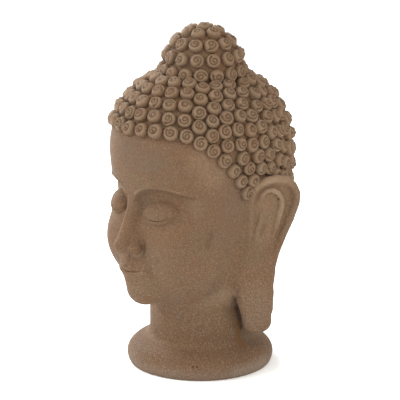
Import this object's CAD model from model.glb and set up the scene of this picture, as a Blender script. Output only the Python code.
import math

import bpy
import numpy as np
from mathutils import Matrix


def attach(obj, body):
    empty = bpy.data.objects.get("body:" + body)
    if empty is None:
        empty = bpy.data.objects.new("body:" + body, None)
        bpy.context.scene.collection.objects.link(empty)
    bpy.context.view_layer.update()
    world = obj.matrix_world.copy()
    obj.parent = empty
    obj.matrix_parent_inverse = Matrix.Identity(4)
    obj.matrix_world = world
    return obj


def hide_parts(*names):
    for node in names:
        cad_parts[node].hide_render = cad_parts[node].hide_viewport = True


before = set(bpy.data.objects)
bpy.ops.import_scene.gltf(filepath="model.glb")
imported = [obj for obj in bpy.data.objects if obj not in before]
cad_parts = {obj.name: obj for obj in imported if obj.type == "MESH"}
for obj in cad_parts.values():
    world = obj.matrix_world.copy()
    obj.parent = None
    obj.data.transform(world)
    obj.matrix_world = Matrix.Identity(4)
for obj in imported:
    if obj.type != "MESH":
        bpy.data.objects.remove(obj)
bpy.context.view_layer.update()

import openvdb
from mathutils import Vector
from mathutils.kdtree import KDTree

scene = bpy.context.scene
MM = 0.001


# Camera: a long lens at the height of a standing person, three metres and a half from a sculpture
# that is turned to its own right, so that its left ear is nearest.
CAMERA_TURN = math.radians(48)
CAMERA_DOWN = math.radians(15.71)
CAMERA_AWAY = 3.6
CAMERA_HEIGHT = 1.28
LENS = 209.43
SENSOR = 36

camera = bpy.data.objects.new("camera", bpy.data.cameras.new("camera"))
camera.data.sensor_width = SENSOR
camera.data.lens = LENS
camera.location = (CAMERA_AWAY * math.sin(CAMERA_TURN), -CAMERA_AWAY * math.cos(CAMERA_TURN), CAMERA_HEIGHT)
camera.rotation_euler = (math.pi / 2 - CAMERA_DOWN, 0, CAMERA_TURN)
scene.collection.objects.link(camera)
scene.camera = camera


# Studio: a white room that gives most of the light, a warm soft box low on the camera's right, a
# white one on its left and a cool window behind that. The exposure keeps the paper white.
scene.view_settings.view_transform = "Standard"
scene.view_settings.exposure = 0.32
scene.world = bpy.data.worlds.new("white room")
scene.world.use_nodes = True
room = scene.world.node_tree.nodes["Background"]
room.inputs["Color"].default_value = (1, 1, 1, 1)
room.inputs["Strength"].default_value = 0.87


def soft_box(name, turn, height, away, size, power, colour):
    """An area lamp that looks at the middle of the head."""
    lamp = bpy.data.objects.new(name, bpy.data.lights.new(name, "AREA"))
    lamp.data.energy = power
    lamp.data.color = colour
    lamp.data.size = size
    lamp.location = (away * math.sin(turn), -away * math.cos(turn), height)
    look = Vector((0, 0, 0.28)) - lamp.location
    lamp.rotation_euler = look.to_track_quat("-Z", "Y").to_euler()
    scene.collection.objects.link(lamp)


soft_box("warm soft box", math.radians(88), 1.3, 1.9, 1.5, 16, (1, 0.94, 0.84))
soft_box("white soft box", math.radians(-30), 1.6, 2.0, 1.2, 29, (1, 1, 1))
soft_box("side window", math.radians(-100), 1.2, 1.8, 1.0, 56, (0.84, 0.93, 1))


# Floor: a seamless sheet of white paper under the sculpture, far larger than the view.
FLOOR_HALF = 6.0


def srgb(code):
    """The linear colour of an sRGB hex code."""
    parts = [int(code[i:i + 2], 16) / 255 for i in (1, 3, 5)]
    return tuple(p / 12.92 if p <= 0.04045 else ((p + 0.055) / 1.055) ** 2.4 for p in parts) + (1,)


def material(name):
    """An empty node material: its node tree, its shader and itself."""
    made = bpy.data.materials.new(name)
    made.use_nodes = True
    return made, made.node_tree, made.node_tree.nodes["Principled BSDF"]


paper, _, paper_shader = material("white backdrop paper")
paper_shader.inputs["Base Color"].default_value = srgb("#fafaf9")
paper_shader.inputs["Roughness"].default_value = 0.95

corners = [(-FLOOR_HALF, -FLOOR_HALF, 0), (FLOOR_HALF, -FLOOR_HALF, 0)]
corners += [(FLOOR_HALF, FLOOR_HALF, 0), (-FLOOR_HALF, FLOOR_HALF, 0)]
floor_mesh = bpy.data.meshes.new("floor")
floor_mesh.from_pydata(corners, [], [(0, 1, 2, 3)])
floor_mesh.materials.append(paper)
floor = bpy.data.objects.new("floor", floor_mesh)
scene.collection.objects.link(floor)


# Fibre clay: a cement and glass-fibre cast with sand in it, tinted brown through and left rough.
# The eye sees a dull earth brown in soft patches, pale sand grains, dust on what stands proud and
# dark soil in what lies deep.
CLAY = {
    "body": "#634934",
    "warm": "#654b35",
    "grey": "#614d3a",
    "pale": "#8e7963",
    "dark": "#3c220d",
    "rust": "#61401c",
    "soil": "#1e1007",
    "ash": "#83766a",
    "grime": "#524b45",
}
# The real sand is 0.5 mm, too fine to show, so it is drawn as coarse as the picture can carry
GRAINS_MM = {"patch": 60, "streak": 21, "speck": 3.8, "sand": 1.9}
PITS = ((77.7, -84.9, 24.0), (82.2, -80.4, 24.2), (137.0, 42.9, 289.6))
PIT_RADIUS = 2.2
# Where soil has washed down the neck behind a lobe, and where dust lies thickest: both ends of each
# run, how far it reaches, its full core, its share and its coat
MARKS = (
    ((83, 0, 104), (84, 14, 70), 15, 4, 0.5, "rust"),
    ((83, 9, 76), (90, 8, 46), 12, 4, 0.7, "rust"),
    ((83, 3, 112), (83, 16, 70), 8, 2, 0.8, "soil"),
    ((86, -20, 138), (60, -40, 128), 28, 2, 0.34, "pale"),
    ((103, -93, 366), (112, -74, 340), 34, 4, 0.22, "pale"),
    ((5, -146, 370), (45, -136, 368), 38, 8, 0.3, "grime"),
    ((107.5, -73, 247), (107.5, -73.5, 241), 6, 1, 0.4, "dark"),
    ((105.8, -80, 236), (106, -79, 228), 8, 1, 0.3, "dark"),
    ((118, -20, 5), (113, 36, 8), 24, 6, 0.32, "ash"),
    ((130, 34, 300), (126, 22, 245), 40, 14, 0.22, "pale"),
    ((126, 8, 130), (124, 8, 96), 42, 14, 0.12, "ash"),
    ((108, -30, 300), (112, -44, 250), 46, 6, 0.2, "grime"),
)


def add(tree, kind, sockets, **settings):
    """Adds a node with its settings; a socket is given a value, or another node's output to follow."""
    node = tree.nodes.new(kind)
    for name, value in settings.items():
        setattr(node, name, value)
    for name, value in sockets.items():
        if isinstance(value, bpy.types.NodeSocket):
            tree.links.new(value, node.inputs[name])
        else:
            node.inputs[name].default_value = value
    return node


def fibre_clay(name):
    """The cast's surface; the mesh carries how deep and how proud each point lies."""
    made, tree, shader = material(name)
    place = add(tree, "ShaderNodeTexCoord", {}).outputs["Object"]
    recess = add(tree, "ShaderNodeAttribute", {}, attribute_name="recess").outputs["Fac"]
    proud = add(tree, "ShaderNodeAttribute", {}, attribute_name="proud").outputs["Fac"]
    grain = {}
    for size, millimetres in GRAINS_MM.items():
        look = {"Vector": place, "Scale": 1 / (millimetres * MM), "Detail": 3.0, "Roughness": 0.62}
        grain[size] = add(tree, "ShaderNodeTexNoise", look).outputs["Fac"]
    low = add(tree, "ShaderNodeSeparateXYZ", {"Vector": place}).outputs["Z"]
    dusty = {"Value": low, "From Min": 0.24, "From Max": 0.15, "To Min": 0.22, "To Max": 0.5}
    dusty = add(tree, "ShaderNodeMapRange", dusty).outputs["Result"]
    worn = {"Value": grain["streak"], "From Min": 0.38, "From Max": 0.6, "To Min": 0.8, "To Max": 0.52}
    worn = add(tree, "ShaderNodeMapRange", worn).outputs["Result"]
    coats = [
        (grain["patch"], 0.40, 0.60, 0.8, "warm"),
        (grain["streak"], 0.35, 0.65, 0.6, "body"),
        (low, 0.10, 0.05, 0.26, "dark"),
        (low, 0.030, 0.006, 0.3, "ash"),
        (grain["speck"], 0.47, 0.75, 0.16, "pale"),
        (grain["sand"], 0.50, 0.72, dusty, "pale"),
        (grain["streak"], 0.45, 0.30, 0.16, "dark"),
        (grain["speck"], 0.46, 0.28, 0.18, "dark"),
        (grain["sand"], 0.50, 0.32, 0.24, "dark"),
        (proud, 0.1, 0.9, worn, "pale"),
        (recess, 0.1, 0.9, 0.55, "dark"),
    ]
    for start, end, reach, core, share, coat in MARKS:
        run = (Vector(end) - Vector(start)) * MM
        past = {0: place, 1: Vector(start) * MM}
        past = add(tree, "ShaderNodeVectorMath", past, operation="SUBTRACT").outputs[0]
        along = {0: past, 1: run / run.length_squared}
        along = add(tree, "ShaderNodeVectorMath", along, operation="DOT_PRODUCT").outputs["Value"]
        along = add(tree, "ShaderNodeClamp", {"Value": along}).outputs[0]
        along = add(tree, "ShaderNodeVectorMath", {0: run, "Scale": along}, operation="SCALE").outputs[0]
        away = add(tree, "ShaderNodeVectorMath", {0: past, 1: along}, operation="DISTANCE").outputs["Value"]
        ragged = {"Value": grain["speck"], "From Min": 0.3, "From Max": 0.6}
        ragged |= {"To Min": 0.5 * share, "To Max": share}
        ragged = add(tree, "ShaderNodeMapRange", ragged).outputs["Result"]
        coats.append((away, reach * MM, core * MM, ragged, coat))
    for pit in PITS:
        away = {0: place, 1: Vector(pit) * MM}
        away = add(tree, "ShaderNodeVectorMath", away, operation="DISTANCE").outputs["Value"]
        coats.append((away, 1.3 * PIT_RADIUS * MM, 0.5 * PIT_RADIUS * MM, 0.9, "dark"))
    colour = srgb(CLAY["grey"])
    for follows, start, end, most, coat in coats:
        share = {"Value": follows, "From Min": start, "From Max": end, "To Max": most}
        share = add(tree, "ShaderNodeMapRange", share, interpolation_type="SMOOTHSTEP").outputs["Result"]
        mixed = {"Factor": share, 6: colour, 7: srgb(CLAY[coat])}
        colour = add(tree, "ShaderNodeMix", mixed, data_type="RGBA").outputs[2]
    tree.links.new(colour, shader.inputs["Base Color"])
    shader.inputs["Roughness"].default_value = 0.92
    shader.inputs["Specular IOR Level"].default_value = 0.3
    rough = {"Factor": 0.6, 2: grain["speck"], 3: grain["sand"]}
    rough = add(tree, "ShaderNodeMix", rough, data_type="FLOAT").outputs[0]
    bump = {"Height": rough, "Strength": 0.7, "Distance": 1.0 * MM}
    tree.links.new(add(tree, "ShaderNodeBump", bump).outputs["Normal"], shader.inputs["Normal"])
    return made


clay = fibre_clay("brown fibre clay, cast and left rough")


# The casting's foot and neck: a round plinth with soft edges, and the thick neck that grows out of it.
# Its form is a distance, in millimetres, that is less than nothing inside the clay.
FOOT = {"radius": 123, "height": 41.6, "edge": 39, "draft": 9, "fillet": 18.4}
NECK = {"radius": 83, "y": 2, "top": 190, "fillet": 20}


def step(low, high, value):
    """A soft step from 0 to 1."""
    share = np.clip((value - low) / (high - low), 0, 1)
    return share * share * (3 - 2 * share)


def bell(value):
    return np.exp(-value * value)


def join(a, b, soft):
    """The two forms together, with a fillet between them."""
    share = np.clip(0.5 + 0.5 * (b - a) / soft, 0, 1)
    return b + (a - b) * share - soft * share * (1 - share)


def carve(a, b, soft):
    """The first form less what the second, turned inside out, leaves out."""
    return -join(-a, b, soft)


def foot(x, y, z):
    draft = FOOT["draft"] * np.maximum(0, 1 - z / 30) ** 2
    out = np.hypot(x, y) + draft - (FOOT["radius"] - FOOT["edge"])
    over = z - (FOOT["height"] - FOOT["edge"])
    rounded = np.hypot(np.maximum(out, 0), np.maximum(over, 0)) + np.minimum(np.maximum(out, over), 0)
    return np.maximum(rounded - FOOT["edge"], -z)


def neck(x, y, z):
    return np.maximum(np.hypot(x, y - NECK["y"]) - NECK["radius"], z - NECK["top"])


# The casting's head: a tall egg with full cheeks, round chin and the topknot on its crown. The hair
# stands a little proud of the skin, up to an edge that dips to the ears and runs down to the nape.
HAIRLINE = 399
CHIN = 118
HEAD = {"x": 127, "y": 152.5, "crown": 487, "axis_y": 8, "centre_z": 330}
TOPKNOT = {"y": 6.5, "z": 470, "radius": 61.5, "height": 74.5}
CURL = {"radius": 11.3, "height": 13.6, "pitch": 24, "rise": -1, "from_edge": 10.8, "from_knot": 5}


def egg(x, y, z, centre, radii):
    u, v, w = ((p - c) / r for p, c, r in zip((x, y, z), centre, radii))
    near = np.sqrt(u * u + v * v + w * w)
    slope = np.sqrt((u / radii[0]) ** 2 + (v / radii[1]) ** 2 + (w / radii[2]) ** 2)
    return near * (near - 1) / (slope + 1e-9)


def skull(x, y, z):
    side = np.abs(x)
    form = egg(x, y, z, (0, -2, 368), (HEAD["x"], HEAD["y"], HEAD["crown"] - 368))
    form = join(form, egg(x, y, z, (0, -30, 258), (115, 114, 148)), 40)
    form = join(form, egg(x, y, z, (0, 36, 292), (112, 110, 128)), 40)
    form = join(form, egg(x, y, z, (0, -50, 184), (95, 82, 70)), 24)
    form = join(form, egg(side, y, z, (0, -118, 145), (31, 27, 27)), 20)
    form = join(form, egg(side, y, z, (82, -6, 176), (21, 28, 58)), 16)
    return join(form, egg(side, y, z, (53, -88, 216), (46, 48, 50)), 26)


def hair_edge(angle):
    """Height of the hair's edge at an angle from the front, in degrees."""
    front = HAIRLINE - 0.034 * np.maximum(0, np.minimum(angle, 88) - 25) ** 2
    return front - (front - 176) * step(88, 140, angle)


def angle_from_front(x, y):
    return np.degrees(np.arctan2(np.abs(x), HEAD["axis_y"] - y))


def topknot(x, y, z):
    size = (TOPKNOT["radius"], TOPKNOT["radius"], TOPKNOT["height"])
    return egg(x, y, z, (0, TOPKNOT["y"], TOPKNOT["z"]), size)


def scalp(x, y, z):
    return join(skull(x, y, z) - CURL["rise"], topknot(x, y, z), 8)


# The casting's face: calm, with closed eyes under high brows, in three equal thirds from hairline to
# chin. It was modelled in the clay of the master, so its edges are soft.
THIRD = (HAIRLINE - CHIN) / 3
NOSE_BASE = CHIN + THIRD
MOUTH = NOSE_BASE - THIRD / 3 + 0.5
EYE = {"x": 45, "y": -119, "z": 282, "half": 29.5, "turn": math.radians(21)}
NOSE_RIDGE = ((0, -136, 304, 7.5), (0, -143, 280, 8), (0, -154, 250, 9.5), (0, -163, 228, 11.5))
NOSE_FLANK = ((0, -127, 302, 12), (0, -134, 272, 14), (0, -140, 248, 17), (0, -144, 228, 20))


def roll(x, y, z, knots):
    """A roll of clay through knots, each with its own radius."""
    form = np.inf
    for (ax, ay, az, ar), (bx, by, bz, br) in zip(knots, knots[1:]):
        dx, dy, dz = bx - ax, by - ay, bz - az
        along = ((x - ax) * dx + (y - ay) * dy + (z - az) * dz) / (dx * dx + dy * dy + dz * dz)
        share = np.clip(along, 0, 1)
        away = np.sqrt((x - ax - dx * share) ** 2 + (y - ay - dy * share) ** 2 + (z - az - dz * share) ** 2)
        form = np.minimum(form, away - (ar + (br - ar) * share))
    return form


def nose(side, y, z):
    form = join(roll(side, y, z, NOSE_RIDGE), roll(side, y, z, NOSE_FLANK), 7)
    form = join(form, egg(side, y, z, (0, -163.5, 224), (13, 13.5, 12)), 5)
    return join(form, egg(side, y, z, (15.5, -149, 220.5), (9.5, 14, 10)), 4)


def brow_arch(side):
    return 297 + 25 * np.sin(np.clip((side - 6) / 88, 0, 1) ** 0.74 * math.pi * 0.84)


def lids(side, y, z):
    """How far the closed eye stands out of its socket."""
    turned = (side - EYE["x"]) * math.cos(EYE["turn"]) + (y - EYE["y"]) * math.sin(EYE["turn"])
    along = turned / EYE["half"]
    inside = np.maximum(0, 1 - along * along)
    gap = z - (EYE["z"] - 11 + 2.5 * along + 8 * along * along)
    upper, lower = 27 * inside ** 0.6, 9.5 * inside ** 0.7
    share = np.clip((gap + lower) / np.maximum(upper + lower, 1e-3), 0, 1)
    ball = 10.5 * inside ** 0.45 * (4 * share * (1 - share)) ** 0.62
    edge = 1.3 * step(-0.6, 0.6, gap) * (1 - step(0.75, 1, share)) * inside ** 0.35
    return ball + edge - 2.2 * bell((gap + 0.8) / 1.25) * inside ** 0.2


def lips(side, z):
    """How far the lips stand out, less the line between them."""
    width = np.minimum(1, side / 34)
    gap = z - (MOUTH + 4.4 * width ** 2 - 1.3 * bell(side / 5))
    bow = 1.6 * bell((side - 7) / 5) - 1.6 * bell(side / 3.5)
    upper = np.maximum(0.2, 9 + bow - 8.6 * width ** 1.7)
    lower = np.maximum(0.2, 10.5 - 9.6 * width ** 2.2)
    end = np.sqrt(1 - width * width)
    above = 3.8 * np.sqrt(np.maximum(0, 1 - (np.maximum(gap, 0) / upper) ** 2.2)) * end
    share = np.minimum(1, np.maximum(-gap, 0) / lower) * 0.86 + 0.14
    under = 4.9 * np.sqrt(4 * share * (1 - share)) * end
    return np.where(gap >= 0, above, under) - 2.8 * bell(gap / 1.3) * (1 - step(30, 39, side))


def face(x, y, z, form):
    side = np.abs(x)
    front = step(10, 60, -y)
    under = brow_arch(side) - z
    socket = step(-1.5, 7, under) * (1 - step(20, 60, under))
    form = form + 9.5 * socket * step(5, 18, side) * (1 - step(70, 102, side)) * front
    form = form - 1.8 * bell((under + 1) / 2.6) * step(2, 14, side) * (1 - step(74, 98, side)) * front
    form = form - lids(side, y, z) * front
    form = join(form, nose(side, y, z), 6)
    form = join(form, egg(side, y, z, (0, -122, 184), (41, 30, 35)), 16)
    form = form - lips(side, z) * step(80, 105, -y)
    form = form + 2.6 * bell(np.hypot((side - 38) / 5, (z - 187.5) / 7)) * front
    form = form + 2 * bell(side / 3.4) * step(191, 196, z) * (1 - step(206, NOSE_BASE, z)) * front
    form = form + 2.4 * bell((z - 164) / 5) * bell(side / 22) * front
    form = form + 1.6 * bell(np.hypot((side - 25.5) / 3, (z - 224) / 10)) * front
    return carve(form, egg(side, y, z, (7.2, -157, 208.6), (4.4, 8, 4.4)), 1.5)


# The casting's ears: long flat lobes that hang clear of the neck, with a rolled rim, an inner arch
# and a deep slit behind the flap. In an ear's own frame u runs back, n outwards and w up.
EAR = {"x": 110, "y": -8, "turn": math.radians(19), "thick": 11, "lean": 7, "dish": 8}
EAR_OUTLINE = (
    (62, 290, 33),
    (47, 281, 45),
    (26.5, 196, 31),
    (20.5, 165, 33),
    (23, 129, 30),
    (26, 108, 26.5),
    (24, 89, 20),
    (33, 86.5, 18.5),
)
EAR_RIM = (
    (12, 9, 258, 3.5),
    (8, 10, 280, 4),
    (8, 10.5, 300, 4.5),
    (16, 11, 315, 4.5),
    (34, 11, 324, 4.5),
    (52, 11, 326, 4.5),
    (69, 11, 322, 4.5),
    (82, 11, 312, 4.5),
    (89, 10.5, 297, 4.5),
    (88, 10.5, 282, 4.5),
    (78, 10, 254, 4.5),
    (64, 9, 229, 4.5),
    (53, 7, 207, 4.5),
    (46, 3, 184, 4),
)
EAR_ARCH = (
    (20, 6, 285, 3),
    (27, 8.5, 298, 3.8),
    (36, 9, 305, 4),
    (46, 9, 306, 4),
    (56, 9, 300, 4),
    (62, 9, 290, 4),
    (63, 9, 277, 4),
    (59, 9, 263, 4),
    (54, 8.5, 245, 3.8),
    (48, 6.5, 228, 3),
)
EAR_SLIT = ((39, 9, 262, 4), (34, 8, 249, 5), (28, 8, 234, 3.5))
EAR_FLAP = ((28, 6, 268, 4), (25, 7, 254, 4.5), (21, 7, 240, 4.5), (18, 5.5, 222, 4))


def ear(x, y, z):
    across, back = np.abs(x) - EAR["x"], y - EAR["y"]
    u = across * math.sin(EAR["turn"]) + back * math.cos(EAR["turn"])
    lean = EAR["lean"] * (1 - step(80, 220, z))
    n = across * math.cos(EAR["turn"]) - back * math.sin(EAR["turn"]) + lean
    edge = np.inf
    for (au, aw, ar), (bu, bw, br) in zip(EAR_OUTLINE, EAR_OUTLINE[1:]):
        du, dw = bu - au, bw - aw
        share = np.clip(((u - au) * du + (z - aw) * dw) / (du * du + dw * dw), 0, 1)
        disc = np.hypot(u - au - du * share, z - aw - dw * share) - (ar + (br - ar) * share)
        edge = disc if edge is np.inf else join(edge, disc, 6)
    dish = EAR["dish"] * step(4, 19, -edge) * step(180, 235, z)
    depth = np.where(n > 3, n - 3 + dish * step(3, 8, n), 3 - n)
    inset = edge + EAR["thick"]
    form = np.where(inset > 0, np.hypot(inset, depth), depth) - EAR["thick"]
    form = join(form, roll(u, n, z, EAR_RIM), 5)
    form = carve(form, egg(u, n, z, (43, 20, 272), (17, 15, 31)), 3)
    form = join(form, roll(u, n, z, EAR_ARCH), 2.5)
    form = carve(form, roll(u, n, z, EAR_SLIT), 3)
    form = join(form, roll(u, n, z, EAR_FLAP), 3)
    form = join(form, egg(u, n, z, (44, -22, 262), (34, 24, 50)), 14)
    return join(form, egg(u, n, z, (-5, -10, 190), (25, 18, 52)), 12)


def casting(x, y, z):
    """The whole casting without its curls."""
    hair = CURL["rise"] * step(-3, 3, z - hair_edge(angle_from_front(x, y)))
    form = face(x, y, z, skull(x, y, z) - hair)
    form = join(form, topknot(x, y, z), 8)
    form = join(form, neck(x, y, z), NECK["fillet"])
    form = join(form, foot(x, y, z), FOOT["fillet"])
    return join(np.maximum(form, -z), ear(x, y, z), 7)


# Curls: 332 snails of clay, pressed one by one on the master's scalp in rows that follow the
# hair's edge, and cast with the rest. The rows shift until the curls sit evenly.
SCALP_CENTRE = np.array((0, HEAD["axis_y"], HEAD["centre_z"]))


def at(shape, points):
    return shape(points[:, 0], points[:, 1], points[:, 2])


def slope(shape, points, reach):
    """How a form's distance grows along x, y and z."""
    out = np.empty_like(points)
    for axis, way in enumerate(np.eye(3) * reach):
        out[:, axis] = (at(shape, points + way) - at(shape, points - way)) / (2 * reach)
    return out


def bare_scalp(x, y, z):
    return skull(x, y, z) - CURL["rise"]


def on_scalp(angles, tilts):
    """Where rays from the head's middle leave the scalp."""
    ways = np.stack((np.sin(tilts) * np.sin(angles), -np.sin(tilts) * np.cos(angles), np.cos(tilts)), -1)
    away = np.full(len(ways), 260.0)
    for _ in range(50):
        away -= 0.9 * at(bare_scalp, SCALP_CENTRE + ways * away[:, None])
    return SCALP_CENTRE + ways * away[:, None]


def lengths(points):
    """Distance along a polyline up to each of its points."""
    return np.concatenate(([0], np.cumsum(np.linalg.norm(np.diff(points, axis=0), axis=1))))


def meridian(angle):
    """Tilts down one side of the head, their heights above the hair's edge, and the highest of use."""
    tilts = np.radians(np.arange(4, 151))
    points = on_scalp(np.full(len(tilts), angle), tilts)
    edge = hair_edge(np.degrees(math.pi - abs(math.pi - angle)))
    on_skin = (tilts > math.radians(30)) & (points[:, 2] < edge)
    last = np.argmax(np.append(on_skin, True))
    tilts, points = tilts[:last][::-1], points[:last][::-1]
    heights = lengths(points)
    from_knot = np.hypot(points[:, 0], points[:, 1] - TOPKNOT["y"]) - TOPKNOT["radius"]
    return tilts, heights, heights[np.nonzero(from_knot > CURL["from_knot"])[0][-1]]


def scalp_rows():
    pitch = CURL["pitch"]
    angles = np.arange(180) * math.pi / 90
    sides = [meridian(angle) for angle in angles]
    rows = []
    height = CURL["from_edge"]
    while any(height <= reach for _, _, reach in sides):
        usable = np.array([height <= reach for _, _, reach in sides])
        tilts = np.array([np.interp(height, heights, tilts) for tilts, heights, _ in sides])
        stagger = 0.5 * (len(rows) % 2)
        if usable.all():
            run, tilts = np.append(angles, 2 * math.pi), np.append(tilts, tilts[0])
            path = lengths(on_scalp(run, tilts))
            count = round(path[-1] / pitch)
            stops = (np.arange(count) + stagger) / count * path[-1]
        else:
            kept = np.arange(np.nonzero(usable)[0][0], np.nonzero(usable)[0][-1] + 1)
            run, tilts = angles[kept], tilts[kept]
            path = lengths(on_scalp(run, tilts))
            half = math.floor(path[-1] / 2 / pitch - stagger)
            stops = path[-1] / 2 + (np.arange(-half - 2 * stagger, half + 1) + stagger) * pitch
        rows.append(on_scalp(np.interp(stops, path, run), np.interp(stops, path, tilts)))
        height += pitch
    return rows


def topknot_rings():
    """One curl on top of the knot and four rings below it."""
    spacing = 23.6
    tilts = np.radians(np.arange(96))
    out = TOPKNOT["radius"] * np.sin(tilts)
    up = TOPKNOT["z"] + TOPKNOT["height"] * np.cos(tilts)
    path = lengths(np.stack((out, up), -1))
    points = [(0, TOPKNOT["y"], up[0])]
    for ring in range(1, 5):
        radius, level = np.interp(spacing * ring, path, out), np.interp(spacing * ring, path, up)
        count = round(2 * math.pi * radius / spacing)
        for turn in (np.arange(count) + 0.5 * (ring % 2)) * 2 * math.pi / count:
            points.append((radius * math.sin(turn), TOPKNOT["y"] - radius * math.cos(turn), level))
    return np.array(points)


def settle(free, fixed):
    """Pushes the free curls apart along the scalp."""
    wanted = CURL["pitch"] + 0.6
    for _ in range(40):
        everyone = np.vstack((fixed, free))
        gaps = free[:, None] - everyone[None]
        away = np.linalg.norm(gaps, axis=2)
        away[np.arange(len(free)), len(fixed) + np.arange(len(free))] = np.inf
        push = 0.22 * np.maximum(0, wanted - away) / np.maximum(away, 1e-6)
        free = free + (gaps * push[..., None]).sum(1)
        for _ in range(2):
            way = slope(bare_scalp, free, 0.5)
            free = free - way / np.linalg.norm(way, axis=1)[:, None] * at(bare_scalp, free)[:, None]
    return free


def spaced(points, gap, placed):
    """The placed points, and those others that keep their distance from all before them."""
    kept = list(placed)
    for point in points:
        if np.linalg.norm(point - np.array(kept), axis=1).min() > gap:
            kept.append(point)
    return np.array(kept)


def curl_places():
    knot = topknot_rings()
    edge_row, *upper = scalp_rows()
    fixed = np.vstack((edge_row, knot))
    free = spaced(np.vstack(upper), 16.5, fixed)[len(fixed):]
    places = spaced(settle(free, fixed), 18, fixed)
    places = places[at(ear, places) > 3]
    ways = slope(scalp, places, 1.5)
    return places, ways / np.linalg.norm(ways, axis=1)[:, None]


def snail(stations=11, turns=1.5):
    """A snail curl of unit radius: points, faces, and how deep or how proud each point lies."""
    count = round(stations * turns)
    turned = np.arange(count + 1) * 2 * math.pi / stations
    along = turned / (2 * math.pi)
    climb = 0.72 + 0.15 * along - 0.31 * (1 - step(0, 0.2, along))

    def line(radius, height, upto=count + 1):
        radius, height = np.broadcast_to(radius, upto), np.broadcast_to(height, upto)
        return np.stack((radius * np.cos(turned[:upto]), radius * np.sin(turned[:upto]), height), -1)

    base = line(0.93, -0.3, stations)
    wall = line(1.0, 0.38, stations)
    crest = line(0.85 - 0.36 * along, climb)
    groove = line(0.67 - 0.35 * along, climb - 0.13)
    points = np.vstack((base, wall, crest, groove, ((0, 0, 0.97),)))
    sizes = (stations, stations, count + 1, count + 1, 1)
    w, c, g, middle = np.cumsum(sizes[:-1]).tolist()
    faces = [(w, c, g, c + stations)]
    for i in range(stations):
        j = (i + 1) % stations
        faces += [(i, j, w + j, w + i), (w + i, w + j, c + i + 1, c + i)]
    for i in range(count):
        faces.append((c + i, c + i + 1, g + i + 1, g + i))
        if i + stations < count:
            faces.append((g + i, g + i + 1, c + i + stations + 1, c + i + stations))
        else:
            faces.append((g + i, g + i + 1, middle))
    faces += [(g + count, c + count, middle), (c + count, g + count - stations, middle)]
    recess = np.repeat((0.2, 0.0, 0.0, 0.5, 0.0), sizes)
    proud = np.repeat((0.05, 0.3, 0.65, 0.05, 0.7), sizes)
    return points, faces, recess, proud


places, outward = curl_places()


def plain_mesh(name, points, faces, attributes):
    """A mesh of the clay, smooth, from millimetres, with a value or a direction at each point."""
    mesh = bpy.data.meshes.new(name)
    mesh.from_pydata((points * MM).tolist(), [], faces)
    mesh.polygons.foreach_set("use_smooth", [True] * len(mesh.polygons))
    for title, values in attributes.items():
        arrow = values.ndim == 2
        attribute = mesh.attributes.new(title, "FLOAT_VECTOR" if arrow else "FLOAT", "POINT")
        attribute.data.foreach_set("vector" if arrow else "value", values.ravel())
    mesh.update()
    return mesh


snail_points, snail_faces, snail_recess, snail_proud = snail()
snail_marks = {"recess": snail_recess, "proud": snail_proud}
snail_points *= (CURL["radius"], CURL["radius"], CURL["height"])
snail_mesh = plain_mesh("one curl", snail_points, snail_faces, snail_marks)
snail_mesh.materials.append(clay)
one_curl = bpy.data.objects.new("one curl", snail_mesh)
scene.collection.objects.link(one_curl)


LEAN = math.radians(8)


def curl_tree():
    """Puts a curl at each point, upright on the scalp, turned and pressed by chance."""
    tree = bpy.data.node_groups.new("curls on the scalp", "GeometryNodeTree")
    face_of = tree.interface
    face_of.new_socket("Geometry", in_out="INPUT", socket_type="NodeSocketGeometry")
    kinds = {"Curl": "Object", "Clay": "Material", "Seed": "Int"}
    kinds |= dict.fromkeys(("Least height", "Most height", "Least width", "Most width"), "Float")
    for title, kind in kinds.items():
        face_of.new_socket(title, in_out="INPUT", socket_type="NodeSocket" + kind)
    face_of.new_socket("Geometry", in_out="OUTPUT", socket_type="NodeSocketGeometry")
    given = tree.nodes.new("NodeGroupInput").outputs
    curl = add(tree, "GeometryNodeObjectInfo", {"Object": given["Curl"]})
    outward = add(tree, "GeometryNodeInputNamedAttribute", {"Name": "outward"}, data_type="FLOAT_VECTOR")
    upright = {"Vector": outward.outputs["Attribute"]}
    upright = add(tree, "FunctionNodeAlignRotationToVector", upright, axis="Z")
    leans = {0: (-LEAN, -LEAN, 0), 1: (LEAN, LEAN, 2 * math.pi), "Seed": given["Seed"]}
    leans = add(tree, "FunctionNodeRandomValue", leans, data_type="FLOAT_VECTOR")
    spin = add(tree, "FunctionNodeEulerToRotation", {"Euler": leans.outputs[0]})
    both = {"Rotation": upright.outputs[0], "Rotate By": spin.outputs[0]}
    rotation = add(tree, "FunctionNodeRotateRotation", both, rotation_space="LOCAL")
    later = add(tree, "ShaderNodeMath", {0: given["Seed"], 1: 1.0}, operation="ADD")
    width = {2: given["Least width"], 3: given["Most width"], "Seed": later.outputs[0]}
    width = add(tree, "FunctionNodeRandomValue", width)
    last = add(tree, "ShaderNodeMath", {0: given["Seed"], 1: 2.0}, operation="ADD")
    height = {2: given["Least height"], 3: given["Most height"], "Seed": last.outputs[0]}
    height = add(tree, "FunctionNodeRandomValue", height)
    size = {"X": width.outputs[1], "Y": width.outputs[1], "Z": height.outputs[1]}
    size = add(tree, "ShaderNodeCombineXYZ", size)
    put = {"Points": given["Geometry"], "Instance": curl.outputs["Geometry"]}
    put |= {"Rotation": rotation.outputs[0], "Scale": size.outputs[0]}
    put = add(tree, "GeometryNodeInstanceOnPoints", put)
    real = add(tree, "GeometryNodeRealizeInstances", {"Geometry": put.outputs[0]})
    dressed = {"Geometry": real.outputs[0], "Material": given["Clay"]}
    dressed = add(tree, "GeometryNodeSetMaterial", dressed)
    tree.links.new(dressed.outputs[0], tree.nodes.new("NodeGroupOutput").inputs["Geometry"])
    return tree


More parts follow.
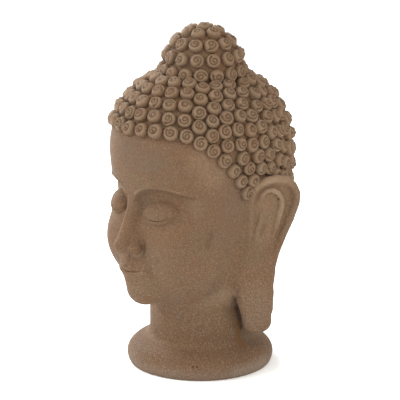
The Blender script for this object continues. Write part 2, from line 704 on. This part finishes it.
spots = bpy.data.objects.new("curl spots", plain_mesh("curl spots", places, [], {"outward": outward}))
scene.collection.objects.link(spots)
maker = spots.modifiers.new("curls", "NODES")
maker.node_group = curl_tree()
chosen = {"Curl": one_curl, "Clay": clay, "Seed": 11}
chosen |= {"Least height": 0.9, "Most height": 1.08, "Least width": 1.0, "Most width": 1.1}
for socket in maker.node_group.interface.items_tree:
    if socket.name in chosen:
        maker[socket.identifier] = chosen[socket.name]
curl_mesh = bpy.data.meshes.new_from_object(spots.evaluated_get(bpy.context.evaluated_depsgraph_get()))
curl_mesh.name = "snail curls"
curls = bpy.data.objects.new("snail_curls", curl_mesh)
scene.collection.objects.link(curls)
bpy.data.objects.remove(spots)
bpy.data.objects.remove(one_curl)
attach(curls, "root")
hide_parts("buddha_head")


# The casting itself: one closed skin of clay over all the forms above, hollow in the real piece. Its
# points sit on a grid that is finest at the face and the ears, and are then drawn onto the form.
GRID = {
    "x": (-160, (-72, 3.05), (72, 2.3), (160, 3.05)),
    "y": (-186, (-100, 2.1), (-60, 2.55), (90, 2.95), (172, 4.2)),
    "z": (-5, (5, 2.1), (110, 3.6), (160, 2.75), (325, 2.2), (345, 2.75), (556, 4.6)),
}


def grid_lines(start, *stretches):
    lines = [start]
    for end, spacing in stretches:
        count = math.ceil((end - lines[-1]) / spacing)
        lines += np.linspace(lines[-1], end, count + 1)[1:].tolist()
    return np.array(lines, float)


def skin_of(shape):
    """Points and faces of the surface where a form's distance is nothing."""
    lines = [grid_lines(*GRID[axis]) for axis in "xyz"]
    x, y = np.meshgrid(lines[0], lines[1], indexing="ij")
    levels = [shape(x, y, np.full_like(x, level)) for level in lines[2]]
    volume = openvdb.FloatGrid()
    volume.background = 50.0
    volume.copyFromArray(np.clip(np.stack(levels, -1), -50, 50).astype(np.float32))
    spots, quads = volume.convertToQuads(0.0)
    points = [np.interp(spots[:, i], np.arange(len(line)), line) for i, line in enumerate(lines)]
    points = np.stack(points, -1)
    for _ in range(3):
        way = slope(shape, points, 0.4)
        points = points - way * (at(shape, points) / np.maximum((way * way).sum(1), 0.25))[:, None]
    points[:, 2] = np.maximum(points[:, 2], 0)
    return points, quads[:, ::-1]


skin, quads = skin_of(casting)
way = slope(casting, skin, 1.0)
way /= np.linalg.norm(way, axis=1)[:, None]
DEEP = 7.0
recess = 1 - at(casting, skin + way * DEEP) / DEEP
proud = 1 + at(casting, skin - way * DEEP) / DEEP
near_curls = KDTree(len(places))
for i, spot in enumerate(places):
    near_curls.insert(spot, i)
near_curls.balance()
under = np.array([near_curls.find(point)[2] for point in skin])
valley = np.hypot(np.hypot(skin[:, 0], skin[:, 1] - TOPKNOT["y"]) - TOPKNOT["radius"] - 6, skin[:, 2] - 472)
recess = np.maximum(np.maximum(recess, 0.15 * step(18, 11, under)), step(15, 5, valley))
recess = recess * step(30, 80, skin[:, 2])
marks = {"recess": np.clip(recess, 0, 1), "proud": np.clip(proud * 0.9, 0, 1)}
head = bpy.data.objects.new("cast_head", plain_mesh("cast head", skin, quads.tolist(), marks))
head.data.materials.append(clay)
scene.collection.objects.link(head)
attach(head, "root")
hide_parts("buddha_head")
